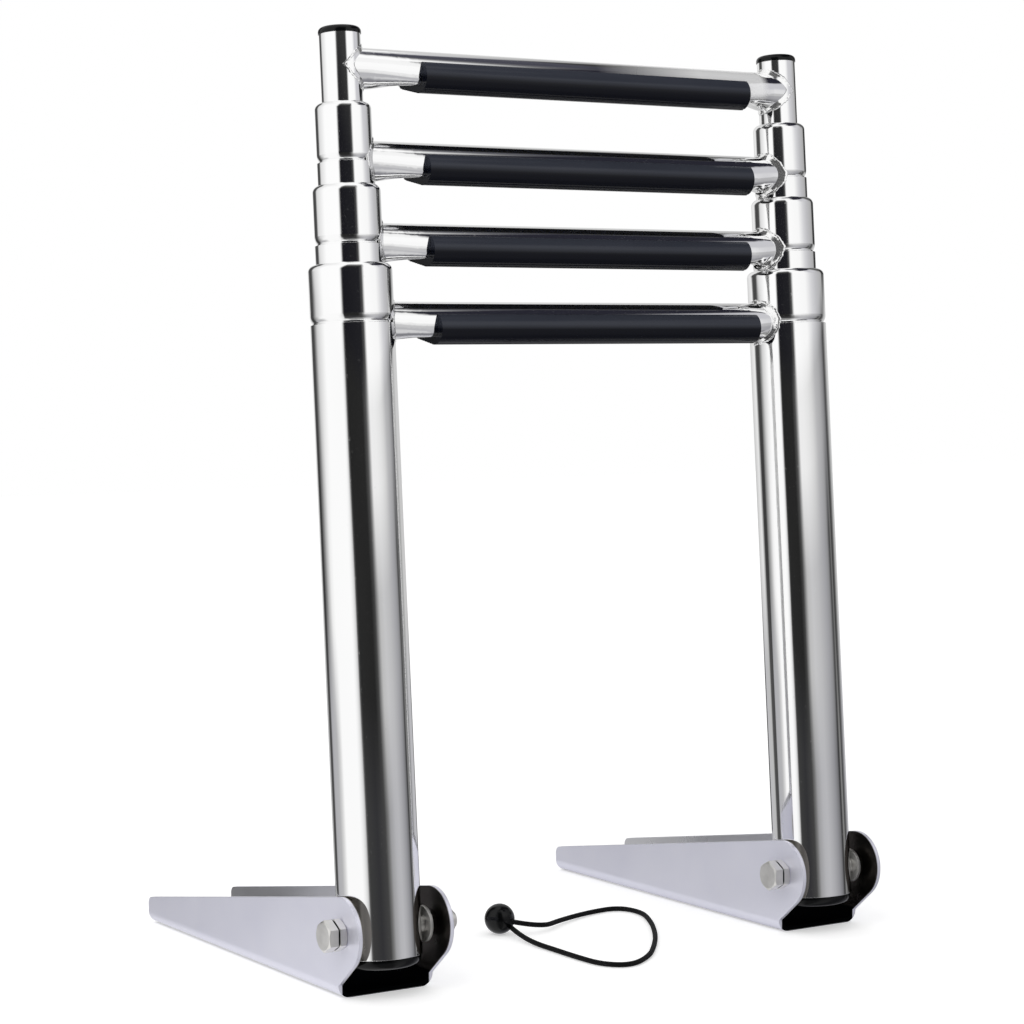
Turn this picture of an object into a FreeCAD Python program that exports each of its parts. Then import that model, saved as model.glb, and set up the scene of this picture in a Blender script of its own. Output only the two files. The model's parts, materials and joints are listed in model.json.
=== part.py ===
# Telescopic boat ladder of four rungs, pushed together and standing on its two deck brackets.
# Millimetres. X runs along the rungs, Y from the outboard edge inboard, Z up from the deck.
# The origin is on the deck, midway between the brackets and near the middle of their length.
import FreeCAD, Part
import math
import os
import Sketcher

Vector = FreeCAD.Vector
doc = FreeCAD.newDocument("BoatLadder")
sheet = doc.addObject("Spreadsheet::Sheet", "Sizes")


class Size:
    """A length or an angle, as a number and as the expression that gives it."""

    def __init__(self, value, text=None):
        self.value = float(value)
        self.text = repr(self.value) if text is None else text

    def __add__(self, other):
        other = size(other)
        return Size(self.value + other.value, f"({self.text} + {other.text})")

    def __sub__(self, other):
        other = size(other)
        return Size(self.value - other.value, f"({self.text} - {other.text})")

    def __mul__(self, other):
        other = size(other)
        return Size(self.value * other.value, f"({self.text} * {other.text})")

    def __truediv__(self, other):
        other = size(other)
        return Size(self.value / other.value, f"({self.text} / {other.text})")

    def __radd__(self, other):
        return size(other) + self

    def __rsub__(self, other):
        return size(other) - self

    def __rmul__(self, other):
        return size(other) * self

    def __neg__(self):
        return Size(-self.value, f"(-1 * {self.text})")


def size(value):
    return value if isinstance(value, Size) else Size(value)


def root(value):
    return Size(math.sqrt(value.value), f"sqrt({value.text})")


def sine(angle):
    return Size(math.sin(math.radians(angle.value)), f"sin({angle.text})")


def cosine(angle):
    return Size(math.cos(math.radians(angle.value)), f"cos({angle.text})")


# Legs and how they stand
leg_spacing = 330  # between the two leg axes
leg_shift = 3  # legs sit this far towards the bolt heads from the bracket centres
leg_lean = 3.8  # degrees that the closed ladder leans inboard
pivot_height = 39.5  # pivot bolt axis above the deck
pivot_front = 123  # pivot bolt axis in front of the origin
pivot_offset = 6  # leg axis behind the pivot bolt axis
foot_drop = 16  # lower end of the outer tube below the bolt

# Tubes, from the outer one inwards
outer_tube_radius = 25.4  # outside radius of the outer tube
tube_wall = 1.2  # wall of every tube
third_bush_wall = 3.3  # plastic between outer and third tube
second_bush_wall = 1.9  # plastic between third and second tube
first_bush_wall = 2.9  # plastic between second and first tube
slide_gap = 0.3  # running clearance of the sliding tubes
seat_gap = 0.1  # clearance of pieces that sit on each other
stop_gap = 0.3  # left between bush and collar at full stretch
slide_travel = 230  # stroke of each sliding tube
bush_length = 32  # length of the bush on a tube's lower end

# Rolled collars
collar_rise = 34.5  # collar top above the rung axis
collar_round = 4  # height of the rounded collar shoulder
lip_flat = 0.3  # flat ring round the mouth of a collar
groove_width = 3  # height of the rolled groove
groove_depth = 1.5  # depth of the rolled groove
groove_floor = 1  # straight bottom of the rolled groove
groove_round = 7  # radius that leads from the groove to the collar

# Rungs
rung_4_height = 363.5  # lowest rung above the pivot, along the leg
rung_radius = 12.5  # outside radius of the rung tube
rung_wall = 1.5  # wall of the rung tube
third_rest_gap = 0.5  # rung 3 above the outer collar
second_rest_gap = 2.5  # rung 2 above the third tube's collar
first_rest_gap = 9  # rung 1 above the second tube's collar
rung_tilt = 15.6  # degrees between step face and the square to the leg
press_width = 28  # width of the pressed middle of a rung
press_drop = 7.5  # pressed flat below the rung axis
press_corner = 5  # corner radius beside the pressed flat
round_end = 12  # round part of the rung from the leg axis
press_left = 47  # pressed part starts this far from the left leg axis
press_right = 34  # pressed part ends this far from the right leg axis

# Treads
tread_left = 49  # tread starts this far from the left leg axis
tread_right = 36  # tread ends this far from the right leg axis
tread_4_left = 52  # the lowest tread starts here instead
tread_3_right = 41  # the tread above it ends here instead
tread_wall = 4.3  # thickness of the tread under the pressed flat
tread_nose = 5  # thickness of the tread in front of the rung
tread_round = 10  # radius of the tread's front and rear edge
tread_grip = 68  # degrees that the tread's edges reach up past its widest part
grip_pitch = 3  # between the grooves of the step face
grip_width = 1.2  # width of a step face groove
grip_depth = 0.7  # depth of a step face groove
grip_count = 6  # grooves in the step face

# Top caps and end plugs
cap_rise = 20  # end of the first tube above rung 1
cap_height = 4.2  # height of the cap's dome
cap_overhang = 0.5  # cap beyond the tube
cap_round = 3  # edge radius of the cap
cap_stem = 14  # depth of the cap inside the tube
plug_flange = 6.5  # thickness of the plug below the tube
plug_inset = 1  # plug flange inside the tube's outline
plug_round = 5  # edge radius of the plug flange
plug_insert = 30  # depth of the plug inside the tube

# Brackets
sheet_thickness = 3  # bracket sheet
leg_room = 8.2  # free width beside the leg between a bracket's plates
bend_radius = 8  # outside radius of the bracket bends
nose_radius = 22  # plate outline round the pivot bolt
web_setback = 4  # front edge of the web behind the bolt axis
bracket_reach = 272.5  # far end of the bracket behind the bolt axis
far_height = 17.5  # height of the far end
far_corner = 5  # corner radius of the far end
screw_hole = 8.5  # diameter of the deck screw holes
screw_first = 70  # first screw hole behind the bolt axis
screw_span = 160  # first to last screw hole
screw_count = 3  # screw holes in each web

# Bolts, nuts and spacers
bolt_diameter = 10  # pivot bolt
bolt_flats = 17  # across the flats of head and nuts
bolt_head = 6.4  # height of the bolt head
jam_height = 5.3  # height of the thin nut
head_gap = 0.5  # between bolt head and thin nut
lock_height = 10  # height of the lock nut with its collar
bolt_play = 0.2  # radial clearance of the bolt in the bracket
leg_play = 0.3  # radial clearance of the bolt in the leg
washer_diameter = 22  # washer beside the leg
washer_thickness = 2  # the same washer
spacer_diameter = 15  # sleeve between that washer and the far plate

# Cord and ball
cord_diameter = 3.3  # elastic cord
ball_diameter = 20  # ball on the cord
ball_side = 21  # ball centre to the left of the origin
ball_front = 17.2  # ball centre in front of the origin

# Each size above goes into the sheet under its own name, and from here on stands for its cell there
given = [(name, value) for name, value in globals().items() if type(value) in (int, float)]
for row, (name, value) in enumerate(given, 1):
    sheet.set(f"A{row}", name)
    sheet.set(f"B{row}", str(value))
    sheet.setAlias(f"B{row}", name)
    globals()[name] = Size(value, f"Sizes.{name}")

# Places that follow from the sizes above
pivot_depth = -pivot_front
axis_depth = pivot_depth + pivot_offset * cosine(leg_lean)
axis_height = pivot_height - pivot_offset * sine(leg_lean)
third_tube_radius = outer_tube_radius - tube_wall - slide_gap - third_bush_wall - seat_gap
second_tube_radius = third_tube_radius - tube_wall - slide_gap - second_bush_wall - seat_gap
first_tube_radius = second_tube_radius - tube_wall - slide_gap - first_bush_wall - seat_gap
rung_3_height = rung_4_height + collar_rise + rung_radius + third_rest_gap
rung_2_height = rung_3_height + collar_rise + rung_radius + second_rest_gap
rung_1_height = rung_2_height + collar_rise + rung_radius + first_rest_gap
bracket_gap = outer_tube_radius * 2 + leg_room
half_width = bracket_gap / 2 + sheet_thickness
zero = Size(0)


def bind(item, path, value):
    item.setExpression(path, value.text)


def new_body(name, x, y, z, turn=zero):
    """An empty body, placed at x, y, z and turned about X."""
    body = doc.addObject("PartDesign::Body", name)
    body.Label = name
    place = Vector(x.value, y.value, z.value)
    body.Placement = FreeCAD.Placement(place, FreeCAD.Rotation(Vector(1, 0, 0), turn.value))
    bind(body, ".Placement.Base.x", x)
    bind(body, ".Placement.Base.y", y)
    bind(body, ".Placement.Base.z", z)
    if turn.value:
        bind(body, ".Placement.Rotation.Angle", turn)
    return body


def leg_body(name, x, height=zero):
    """A body on a leg axis, or midway between the legs, leaning with them."""
    y = axis_depth + height * sine(leg_lean)
    z = axis_height + height * cosine(leg_lean)
    return new_body(name, x, y, z, -leg_lean)


def new_sketch(body, name, plane, offset=None, turn=None):
    """An empty sketch on one of the body's own planes, moved along and turned about its normal."""
    sketch = body.newObject("Sketcher::SketchObject", f"{body.Name}_{name}")
    support = [item for item in body.Origin.OriginFeatures if item.Role == plane][0]
    sketch.AttachmentSupport = [(support, "")]
    sketch.MapMode = "FlatFace"
    if offset is not None:
        angle = turn.value if turn is not None else 0
        turned = FreeCAD.Rotation(Vector(0, 0, 1), angle)
        sketch.AttachmentOffset = FreeCAD.Placement(Vector(0, 0, offset.value), turned)
        bind(sketch, ".AttachmentOffset.Base.z", offset)
        if turn is not None:
            bind(sketch, ".AttachmentOffset.Rotation.Angle", turn)
    return sketch


def fix(sketch, kind, where, value):
    """One dimension of a sketch, held by the size that it stands for."""
    value = size(value)
    index = sketch.addConstraint(Sketcher.Constraint(kind, *where, value.value))
    bind(sketch, f"Constraints[{index}]", value)


def fix_point(sketch, where, x, y):
    fix(sketch, "DistanceX", where, x)
    fix(sketch, "DistanceY", where, y)


def arc_between(start, end, radius, way, big):
    """The arc from start to end. way is 1 when it turns left and -1 when it turns right."""
    middle = (start + end) / 2
    chord = end - start
    reach = math.sqrt(max(radius ** 2 - (chord.Length / 2) ** 2, 0))
    left = Vector(-chord.y, chord.x, 0) / chord.Length
    centre = middle + left * (reach * way * (-1 if big else 1))
    first, last = (start, end) if way > 0 else (end, start)
    low = math.atan2(first.y - centre.y, first.x - centre.x)
    high = math.atan2(last.y - centre.y, last.x - centre.x)
    if high <= low:
        high += 2 * math.pi
    return Part.ArcOfCircle(Part.Circle(centre, Vector(0, 0, 1), radius), low, high)


def outline(sketch, corners):
    """A closed outline. A corner is x, y, and for an arc to the next corner also radius, way, big."""
    count = len(corners)
    points = [Vector(size(c[0]).value, size(c[1]).value, 0) for c in corners]
    starts = []
    ends = []
    arcs = []
    for i, corner in enumerate(corners):
        here, there = points[i], points[(i + 1) % count]
        if len(corner) == 2:
            item = sketch.addGeometry(Part.LineSegment(here, there))
            starts.append((item, 1))
            ends.append((item, 2))
        else:
            radius, way = size(corner[2]), corner[3]
            big = len(corner) > 4
            item = sketch.addGeometry(arc_between(here, there, radius.value, way, big))
            starts.append((item, 1 if way > 0 else 2))
            ends.append((item, 2 if way > 0 else 1))
            arcs.append((item, radius))
    for i in range(count):
        after = starts[(i + 1) % count]
        sketch.addConstraint(Sketcher.Constraint("Coincident", *ends[i], *after))
    for i, corner in enumerate(corners):
        fix_point(sketch, starts[i], corner[0], corner[1])
    for item, radius in arcs:
        fix(sketch, "Radius", (item,), radius)


def circle(sketch, x, y, radius):
    x, y, radius = size(x), size(y), size(radius)
    shape = Part.Circle(Vector(x.value, y.value, 0), Vector(0, 0, 1), radius.value)
    item = sketch.addGeometry(shape)
    fix_point(sketch, (item, 3), x, y)
    fix(sketch, "Radius", (item,), radius)


def turned(body, sketch, kind="Revolution", axis="V_Axis"):
    """The sketch turned once round one of its axes, added or taken away."""
    item = body.newObject(f"PartDesign::{kind}", f"{sketch.Name}_{kind}")
    item.Profile = sketch
    item.ReferenceAxis = (sketch, [axis])
    item.Angle = 360
    return item


def pushed(body, sketch, kind, length, back=None):
    """A pad or a pocket of the sketch, to one side, or back as well."""
    item = body.newObject(f"PartDesign::{kind}", f"{sketch.Name}_{kind}")
    item.Profile = sketch
    item.Length = length.value
    bind(item, "Length", length)
    if back is not None:
        item.SideType = "Two sides"
        item.Length2 = back.value
        bind(item, "Length2", back)
    return item


def cut_through(body, sketch, length):
    """A pocket of the given length, half of it on each side of the sketch."""
    item = pushed(body, sketch, "Pocket", length)
    item.SideType = "Symmetric"
    return item


def ring(body, inner, outer, low, high, bevel):
    """A plain sleeve with bevelled outer ends."""
    sketch = new_sketch(body, "section", "XZ_Plane")
    outline(sketch, [
        (inner, low),
        (outer - bevel, low),
        (outer, low + bevel),
        (outer, high - bevel),
        (outer - bevel, high),
        (inner, high),
    ])
    turned(body, sketch)


def groove_low(height):
    """Lower edge of the rolled groove beside the rung at this height."""
    return height - groove_width / 2


def groove_top(height):
    """Where the collar reaches its full width above the groove."""
    rise = root(2 * groove_round * groove_depth - groove_depth * groove_depth)
    return groove_low(height) + groove_floor + rise


def slide_bush_top(height):
    """Top of the bush that stops under the rolled groove of the tube around it."""
    return groove_low(height) - tube_wall - stop_gap - slide_travel


def collared_tube(name, x, radius, low, height, next_radius):
    """A tube with a rolled groove level with its rung, a wide collar above it and a rolled-in mouth."""
    body = leg_body(name, x)
    sketch = new_sketch(body, "section", "XZ_Plane")
    step = groove_low(height)
    full = groove_top(height)
    top = height + collar_rise
    mouth = next_radius + slide_gap
    width = radius - mouth - lip_flat
    outside = (width * width + collar_round * collar_round) / (2 * width)
    narrow = width - tube_wall
    short = collar_round - tube_wall
    inside = (narrow * narrow + short * short) / (2 * narrow)
    bead = groove_round - tube_wall
    inner_rise = root(2 * bead * groove_depth - groove_depth * groove_depth)
    outline(sketch, [
        (radius, low),
        (radius, step),
        (radius - groove_depth, step),
        (radius - groove_depth, step + groove_floor, groove_round, 1),
        (radius, full),
        (radius, top - collar_round, outside, 1),
        (radius - width, top),
        (mouth, top),
        (mouth, top - tube_wall),
        (radius - width, top - tube_wall, inside, -1),
        (radius - tube_wall, top - collar_round),
        (radius - tube_wall, full, bead, -1),
        (radius - tube_wall - groove_depth, full - inner_rise),
        (radius - tube_wall - groove_depth, step - tube_wall),
        (radius - tube_wall, step - tube_wall),
        (radius - tube_wall, low),
    ])
    turned(body, sketch)
    return body


def collar_bush(name, x, radius, height, next_radius):
    """The guide inside a collar, between the groove and the rolled-in mouth."""
    body = leg_body(name, x)
    high = height + collar_rise - collar_round
    ring(body, next_radius + slide_gap, radius - tube_wall - seat_gap, groove_top(height), high, size(0.4))


def slide_bush(name, x, radius, outer_radius, height):
    """The guide on a sliding tube's lower end. height is the rung of the tube around it."""
    body = leg_body(name, x)
    high = slide_bush_top(height)
    wide = outer_radius - tube_wall - slide_gap
    ring(body, radius + seat_gap, wide, high - bush_length, high, size(0.8))


def outer_leg(side, x):
    body = collared_tube(f"outer_tube_{side}", x, outer_tube_radius, -foot_drop, rung_4_height, third_tube_radius)
    bore = new_sketch(body, "bore", "YZ_Plane")
    circle(bore, -pivot_offset, zero, bolt_diameter / 2 + leg_play)
    cut_through(body, bore, 3 * outer_tube_radius)

    plug = leg_body(f"end_plug_{side}", x)
    sketch = new_sketch(plug, "section", "XZ_Plane")
    flange = outer_tube_radius - plug_inset
    stem = outer_tube_radius - tube_wall - seat_gap
    low = -foot_drop - seat_gap - plug_flange
    outline(sketch, [
        (zero, low),
        (flange - plug_round, low, plug_round, 1),
        (flange, low + plug_round),
        (flange, -foot_drop - seat_gap),
        (stem, -foot_drop - seat_gap),
        (stem, plug_insert - foot_drop),
        (zero, plug_insert - foot_drop),
    ])
    turned(plug, sketch)
    bore = new_sketch(plug, "bore", "YZ_Plane")
    circle(bore, -pivot_offset, zero, bolt_diameter / 2 + leg_play)
    cut_through(plug, bore, 3 * outer_tube_radius)
    collar_bush(f"collar_bush_4_{side}", x, outer_tube_radius, rung_4_height, third_tube_radius)


def sliding_legs(side, x):
    low = slide_bush_top(rung_4_height) - bush_length
    collared_tube(f"tube_3_{side}", x, third_tube_radius, low, rung_3_height, second_tube_radius)
    slide_bush(f"slide_bush_3_{side}", x, third_tube_radius, outer_tube_radius, rung_4_height)
    collar_bush(f"collar_bush_3_{side}", x, third_tube_radius, rung_3_height, second_tube_radius)

    low = slide_bush_top(rung_3_height) - bush_length
    collared_tube(f"tube_2_{side}", x, second_tube_radius, low, rung_2_height, first_tube_radius)
    slide_bush(f"slide_bush_2_{side}", x, second_tube_radius, third_tube_radius, rung_3_height)
    collar_bush(f"collar_bush_2_{side}", x, second_tube_radius, rung_2_height, first_tube_radius)

    body = leg_body(f"tube_1_{side}", x)
    sketch = new_sketch(body, "section", "XZ_Plane")
    low = slide_bush_top(rung_2_height) - bush_length
    high = rung_1_height + cap_rise
    outline(sketch, [
        (first_tube_radius - tube_wall, low),
        (first_tube_radius, low),
        (first_tube_radius, high),
        (first_tube_radius - tube_wall, high),
    ])
    turned(body, sketch)
    slide_bush(f"slide_bush_1_{side}", x, first_tube_radius, second_tube_radius, rung_2_height)

    cap = leg_body(f"top_cap_{side}", x)
    sketch = new_sketch(cap, "section", "XZ_Plane")
    wide = first_tube_radius + cap_overhang
    stem = first_tube_radius - tube_wall - seat_gap
    under = high + seat_gap
    outline(sketch, [
        (zero, high - cap_stem),
        (stem, high - cap_stem),
        (stem, under),
        (wide, under),
        (wide, under + cap_height - cap_round, cap_round, 1),
        (wide - cap_round, under + cap_height),
        (zero, under + cap_height),
    ])
    turned(cap, sketch)


def bracket(name, x):
    """A folded channel, web on the deck, each plate rounded round the bolt and sloping down behind it."""
    body = new_body(name, x, pivot_depth, pivot_height)
    section = new_sketch(body, "channel", "XZ_Plane")
    low = -pivot_height
    high = nose_radius + bend_radius
    inner_bend = bend_radius - sheet_thickness
    outline(section, [
        (bend_radius - half_width, low),
        (half_width - bend_radius, low, bend_radius, 1),
        (half_width, low + bend_radius),
        (half_width, high),
        (half_width - sheet_thickness, high),
        (half_width - sheet_thickness, low + bend_radius, inner_bend, -1),
        (half_width - bend_radius, low + sheet_thickness),
        (bend_radius - half_width, low + sheet_thickness, inner_bend, -1),
        (sheet_thickness - half_width, low + bend_radius),
        (sheet_thickness - half_width, high),
        (-half_width, high),
        (-half_width, low + bend_radius, bend_radius, 1),
    ])
    pushed(body, section, "Pad", nose_radius + bend_radius, bracket_reach + bend_radius)
    side_outline(body, low)

    bore = new_sketch(body, "bolt_hole", "YZ_Plane")
    circle(bore, zero, zero, bolt_diameter / 2 + bolt_play)
    cut_through(body, bore, 3 * half_width)
    screw = new_sketch(body, "screw_hole", "XY_Plane")
    circle(screw, zero, screw_first, screw_hole / 2)
    first = cut_through(body, screw, 3 * pivot_height)
    holes = body.newObject("PartDesign::LinearPattern", f"{name}_screw_holes")
    holes.Originals = [first]
    holes.Direction = (screw, ["V_Axis"])
    holes.Length = screw_span.value
    bind(holes, "Length", screw_span)
    holes.Occurrences = int(screw_count.value)
    bind(holes, "Occurrences", screw_count)
    body.Tip = holes


def touching(px, py, radius, side):
    """Where a line from the point px, py touches the circle of that radius round the origin."""
    away = math.hypot(px, py)
    angle = math.atan2(py, px) + side * math.acos(radius / away)
    return Vector(radius * math.cos(angle), radius * math.sin(angle), 0)


def side_outline(body, low):
    """Cuts the plates to their outline: straight lines that run smoothly into the nose and the far corner."""
    sketch = new_sketch(body, "side", "YZ_Plane")
    margin = bend_radius * 2
    outline(sketch, [
        (-nose_radius - margin, low - margin),
        (bracket_reach + margin, low - margin),
        (bracket_reach + margin, nose_radius + margin),
        (-nose_radius - margin, nose_radius + margin),
    ])
    under = low - bend_radius
    front = Vector(web_setback.value, low.value + bend_radius.value, 0)
    corner = Vector(bracket_reach.value, low.value + far_height.value, 0)
    below = touching(front.x, front.y, nose_radius.value, -1)
    above = touching(corner.x, corner.y, nose_radius.value, 1)
    slope = math.atan2(above.y - corner.y, corner.x - above.x)
    setback = far_corner.value * math.tan((math.pi / 2 - slope) / 2)
    along = (above - corner).normalize()
    corner_start = corner + along * setback
    corner_end = corner - Vector(0, setback, 0)
    corner_arc = arc_between(corner_start, corner_end, far_corner.value, -1, False)
    nose_arc = arc_between(below, above, nose_radius.value, -1, True)
    rise = sketch.addGeometry(Part.LineSegment(Vector(front.x, under.value, 0), front))
    slant = sketch.addGeometry(Part.LineSegment(front, below))
    nose = sketch.addGeometry(nose_arc)
    top = sketch.addGeometry(Part.LineSegment(above, corner_start))
    bend = sketch.addGeometry(corner_arc)
    end = sketch.addGeometry(Part.LineSegment(corner_end, Vector(corner.x, under.value, 0)))
    bottom = sketch.addGeometry(Part.LineSegment(Vector(corner.x, under.value, 0), Vector(front.x, under.value, 0)))
    tip = sketch.addGeometry(Part.Point(corner), True)
    make = Sketcher.Constraint
    sketch.addConstraint(make("Coincident", rise, 2, slant, 1))
    sketch.addConstraint(make("Tangent", slant, 2, nose, 2))
    sketch.addConstraint(make("Tangent", nose, 1, top, 1))
    sketch.addConstraint(make("Tangent", top, 2, bend, 2))
    sketch.addConstraint(make("Tangent", bend, 1, end, 1))
    sketch.addConstraint(make("Coincident", end, 2, bottom, 1))
    sketch.addConstraint(make("Coincident", bottom, 2, rise, 1))
    sketch.addConstraint(make("Coincident", nose, 3, -1, 1))
    sketch.addConstraint(make("PointOnObject", tip, 1, top))
    sketch.addConstraint(make("Vertical", end))
    fix_point(sketch, (rise, 1), web_setback, under)
    fix_point(sketch, (rise, 2), web_setback, low + bend_radius)
    fix_point(sketch, (end, 2), bracket_reach, under)
    fix_point(sketch, (tip, 1), bracket_reach, low + far_height)
    fix(sketch, "Radius", (nose,), nose_radius)
    fix(sketch, "Radius", (bend,), far_corner)
    cut_through(body, sketch, 3 * half_width)


def hexagon(body, name, at):
    """A hexagon across the bolt axis, with two corners up and down."""
    sketch = new_sketch(body, name, "YZ_Plane", at)
    tall = bolt_flats / root(size(3))
    flat = bolt_flats / 2
    outline(sketch, [
        (zero, -tall),
        (flat, -tall / 2),
        (flat, tall / 2),
        (zero, tall),
        (-flat, tall / 2),
        (-flat, -tall / 2),
    ])
    return sketch


def bevel(body, name, at, depth):
    """Turns the corners off a hexagon's face at that place, depth being towards its other face."""
    sketch = new_sketch(body, name, "XZ_Plane")
    inner = bolt_flats * 0.475
    outer = bolt_flats * 0.62
    outline(sketch, [(at, inner), (at, outer), (at + depth, outer)])
    turned(body, sketch, "Groove", "H_Axis")


def pivot_set(side, x):
    """Bolt with its head on the left, thin nut under the head, spacer beside the leg, lock nut at the far end."""
    nut_face = -half_width - seat_gap
    nut_back = nut_face - jam_height
    head_low = nut_back - head_gap
    head_face = head_low - bolt_head
    tip = -head_face
    slope = bolt_flats * 0.145 * 0.577

    bolt = new_body(f"pivot_bolt_{side}", x, pivot_depth, pivot_height)
    pushed(bolt, hexagon(bolt, "head", head_face), "Pad", bolt_head)
    bevel(bolt, "head_bevel", head_face, slope)
    shank = new_sketch(bolt, "shank", "YZ_Plane", head_low - seat_gap)
    circle(shank, zero, zero, bolt_diameter / 2)
    pushed(bolt, shank, "Pad", tip - head_low + seat_gap)

    nut = new_body(f"jam_nut_{side}", x, pivot_depth, pivot_height)
    pushed(nut, hexagon(nut, "nut", nut_back), "Pad", jam_height)
    bevel(nut, "outer_bevel", nut_back, slope)
    bevel(nut, "inner_bevel", nut_face, -slope)
    bore = new_sketch(nut, "bore", "YZ_Plane")
    circle(bore, zero, zero, bolt_diameter / 2 + seat_gap)
    cut_through(nut, bore, 4 * half_width)

    lock = new_body(f"lock_nut_{side}", x, pivot_depth, pivot_height)
    lock_face = half_width + seat_gap
    hex_height = lock_height * 0.72
    pushed(lock, hexagon(lock, "nut", lock_face), "Pad", hex_height)
    bevel(lock, "inner_bevel", lock_face, slope)
    bevel(lock, "outer_bevel", lock_face + hex_height, -slope)
    collar = new_sketch(lock, "collar", "YZ_Plane", lock_face + hex_height / 2)
    circle(collar, zero, zero, bolt_flats * 0.42)
    pushed(lock, collar, "Pad", lock_height - hex_height / 2)
    bore = new_sketch(lock, "bore", "YZ_Plane")
    circle(bore, zero, zero, bolt_diameter / 2 + seat_gap)
    cut_through(lock, bore, 4 * half_width)

    spacer = new_body(f"spacer_{side}", x, pivot_depth, pivot_height)
    start = outer_tube_radius - leg_shift + slide_gap
    stop = bracket_gap / 2 - seat_gap
    bore = bolt_diameter / 2 + bolt_play
    section = new_sketch(spacer, "section", "XZ_Plane")
    outline(section, [
        (start, bore),
        (stop, bore),
        (stop, spacer_diameter / 2),
        (start + washer_thickness, spacer_diameter / 2),
        (start + washer_thickness, washer_diameter / 2),
        (start, washer_diameter / 2),
    ])
    turned(spacer, section, "Revolution", "H_Axis")


def rung_form(press, inset):
    """Half width, shoulder height, flat half length and drop of a rung section. press runs from 0 to 1."""
    radius = rung_radius - inset
    wide = (1 - press) * radius * 0.996 + press * (press_width / 2 - inset)
    shoulder = (press - 1) * radius * 0.087 - press * (press_drop - press_corner)
    flat = (1 - press) * radius * 0.643 + press * (press_width / 2 - press_corner)
    drop = (1 - press) * radius * 0.766 + press * (press_drop - inset)
    return radius, wide, shoulder, flat, drop


def over_top(radius, wide, shoulder):
    """Radius and centre height of the arc through both shoulders and the top of the rung."""
    centre = (radius * radius - wide * wide - shoulder * shoulder) / (2 * (radius - shoulder))
    return radius - centre, centre


def rung_section(body, name, at, press, inset):
    """The rung across its length: round at press 0, flattened underneath at press 1."""
    sketch = new_sketch(body, name, "YZ_Plane", at, rung_tilt)
    radius, wide, shoulder, flat, drop = rung_form(press, inset)
    corner = (1 - press) * radius + press * (press_corner - inset)
    over, centre = over_top(radius, wide, shoulder)
    lowest = (-flat, -drop)
    if press < 1:
        sag = (1 - press) * radius * 0.234
        lowest = (-flat, -drop, (flat * flat + sag * sag) / (2 * sag), 1)
    big = (True,) if centre.value > shoulder.value else ()
    outline(sketch, [
        lowest,
        (flat, -drop, corner, 1),
        (wide, shoulder, over, 1) + big,
        (-wide, shoulder, corner, 1),
    ])
    return sketch


PRESS_STEPS = ((0, 0), (0.33, 0.26), (0.67, 0.74), (1, 1))


def rung_length(body, name, kind, inset, left_end, right_end):
    """The whole rung, or its bore: round ends, pressed middle and the smooth change between them."""
    starts = (left_end + round_end, left_end + press_left)
    stops = (right_end - round_end, right_end - press_right)
    pad, loft = ("Pad", "AdditiveLoft") if kind == "add" else ("Pocket", "SubtractiveLoft")
    for side, (outer, inner) in (("left", starts), ("right", stops)):
        sections = []
        for step, (share, press) in enumerate(PRESS_STEPS):
            at = outer + (inner - outer) * share
            sections.append(rung_section(body, f"{name}_{side}_{step}", at, press, inset))
        item = body.newObject(f"PartDesign::{loft}", f"{body.Name}_{name}_{side}_change")
        item.Profile = sections[0]
        item.Sections = [(section, [""]) for section in sections[1:]]
        if side == "left":
            middle = pushed(body, sections[-1], pad, stops[1] - starts[1])
            end = pushed(body, sections[0], pad, round_end)
            middle.Reversed = kind != "add"
            end.Reversed = kind == "add"
        else:
            end = pushed(body, sections[0], pad, round_end)
            end.Reversed = kind != "add"


def rung(number, height, leg_radius):
    """A rung, pressed flat in the middle, its ends cut to the round of the legs."""
    body = leg_body(f"rung_{number}", -leg_shift, height)
    left_end = -leg_spacing / 2
    right_end = leg_spacing / 2
    rung_length(body, "form", "add", zero, left_end, right_end)
    rung_length(body, "bore", "cut", rung_wall, left_end, right_end)
    mouth = new_sketch(body, "mouths", "XY_Plane")
    circle(mouth, left_end, zero, leg_radius + seat_gap)
    circle(mouth, right_end, zero, leg_radius + seat_gap)
    cut_through(body, mouth, 4 * rung_radius)


def nose_grip(body, start, length, nose, under):
    """Two more grooves on each rounded edge, in step with those of the step face."""
    for count, far in enumerate((1, 2)):
        sketch = new_sketch(body, f"nose_grip_{count}", "YZ_Plane", start, rung_tilt)
        out = grip_pitch * (grip_count - 1) / 2 + grip_pitch * far
        past = out - nose
        rise = tread_round - root(tread_round * tread_round - past * past)
        for side in (1, -1):
            low = side * out - grip_width / 2
            high = side * out + grip_width / 2
            outline(sketch, [
                (low, under - grip_depth),
                (high, under - grip_depth),
                (high, under + rise + grip_depth),
                (low, under + rise + grip_depth),
            ])
        cut = pushed(body, sketch, "Pocket", length * 2)
        cut.SideType = "Symmetric"


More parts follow.
